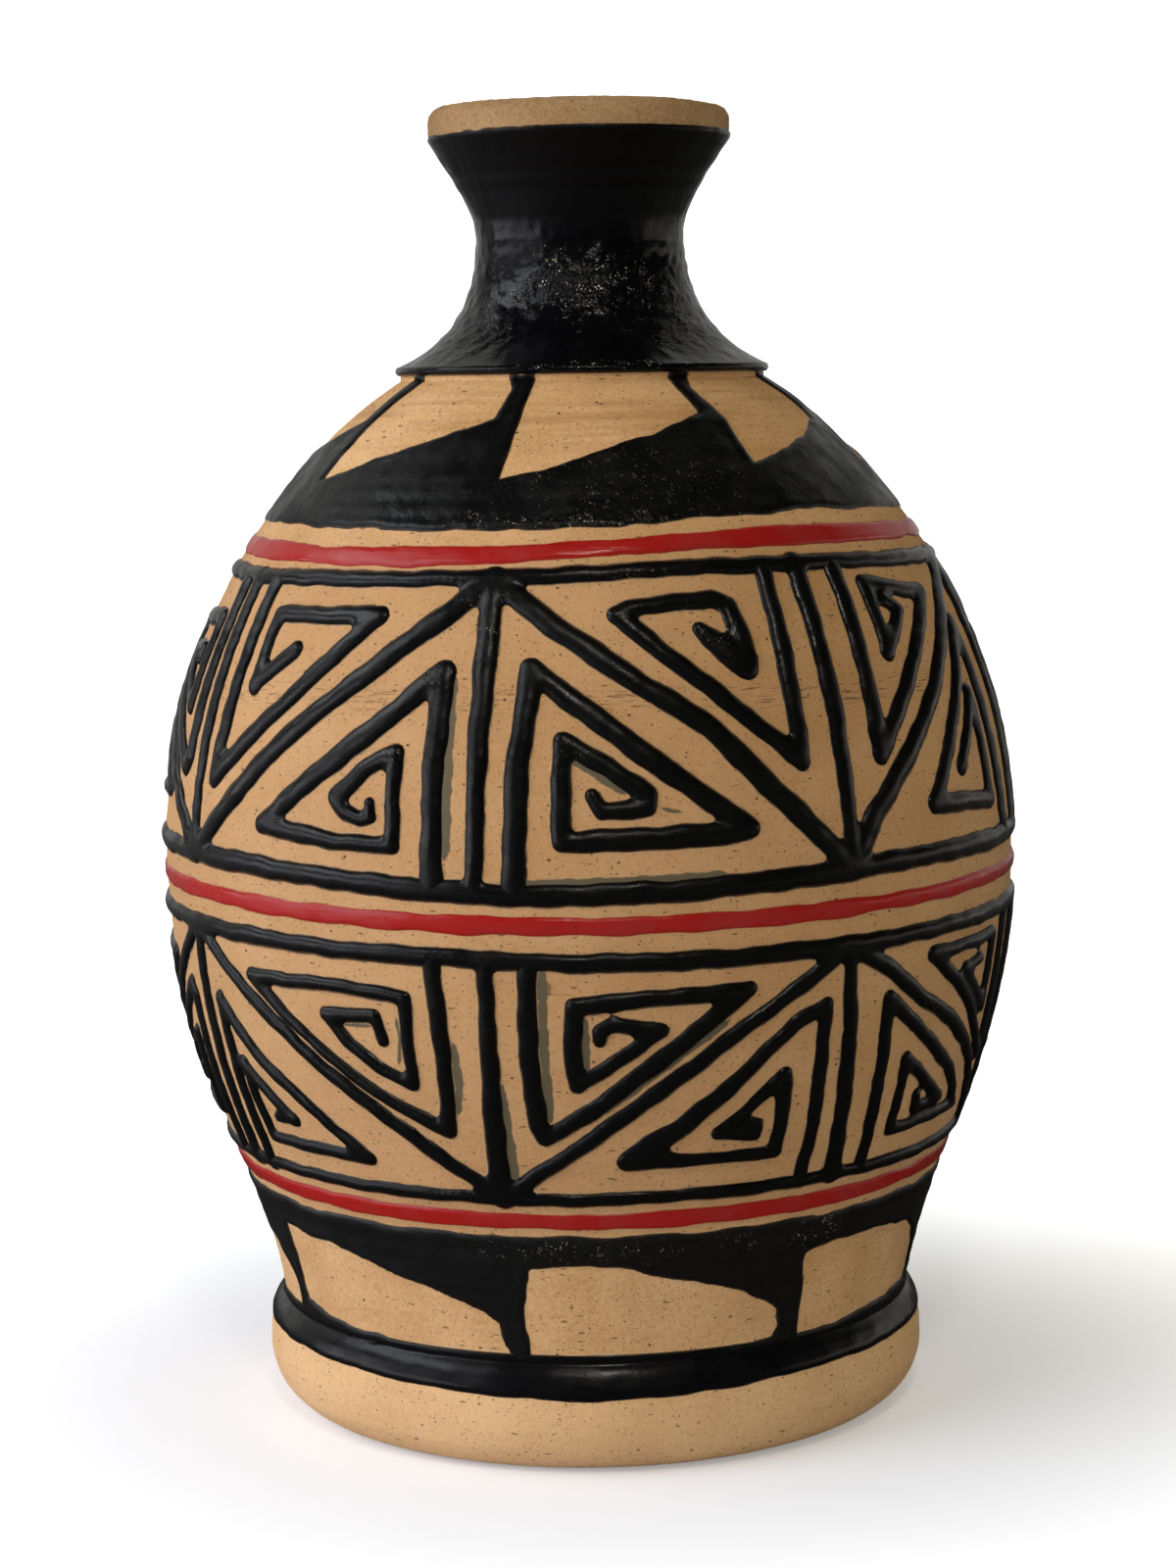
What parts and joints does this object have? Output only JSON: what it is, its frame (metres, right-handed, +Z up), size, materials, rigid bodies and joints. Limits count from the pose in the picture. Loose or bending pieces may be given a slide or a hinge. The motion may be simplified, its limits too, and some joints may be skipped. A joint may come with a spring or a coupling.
{
  "type": "pottery vase",
  "caption": "Hand-thrown narrow-necked pottery vase of speckled buff clay, with raised black and red glaze lines in banded triangle-and-coil friezes.",
  "frame": {"origin": "the middle of the foot's underside, on the surface that the vase stands on", "axes": "+Z up along the axis of the pot; -Y is the side that the picture shows"},
  "size_m": [0.1672, 0.1672, 0.25],
  "materials": {
    "clay": "bare speckled buff clay, matt",
    "black_glaze": "raised black glaze, glossy",
    "red_glaze": "raised deep red glaze, glossy"
  },
  "bodies": {
    "root": {"clay_body": "clay", "clay_neck": "clay", "clay_foot_ring": "clay", "neck_glaze": "black_glaze", "shoulder_glaze": "black_glaze", "skirt_glaze": "black_glaze", "foot_glaze": "black_glaze", "upper_frieze_lines": "black_glaze", "lower_frieze_lines": "black_glaze", "upper_coil_1a": "black_glaze", "upper_coil_1b": "black_glaze", "upper_coil_2a": "black_glaze", "upper_coil_2b": "black_glaze", "upper_coil_3a": "black_glaze", "upper_coil_3b": "black_glaze", "upper_coil_4a": "black_glaze", "upper_coil_4b": "black_glaze", "upper_coil_5a": "black_glaze", "upper_coil_5b": "black_glaze", "upper_coil_6a": "black_glaze", "upper_coil_6b": "black_glaze", "upper_coil_7a": "black_glaze", "upper_coil_7b": "black_glaze", "upper_coil_8a": "black_glaze", "upper_coil_8b": "black_glaze", "lower_coil_1a": "black_glaze", "lower_coil_1b": "black_glaze", "lower_coil_2a": "black_glaze", "lower_coil_2b": "black_glaze", "lower_coil_3a": "black_glaze", "lower_coil_3b": "black_glaze", "lower_coil_4a": "black_glaze", "lower_coil_4b": "black_glaze", "lower_coil_5a": "black_glaze", "lower_coil_5b": "black_glaze", "lower_coil_6a": "black_glaze", "lower_coil_6b": "black_glaze", "lower_coil_7a": "black_glaze", "lower_coil_7b": "black_glaze", "lower_coil_8a": "black_glaze", "lower_coil_8b": "black_glaze", "red_line_upper": "red_glaze", "red_line_middle": "red_glaze", "red_line_lower": "red_glaze"}
  },
  "joints": []
}
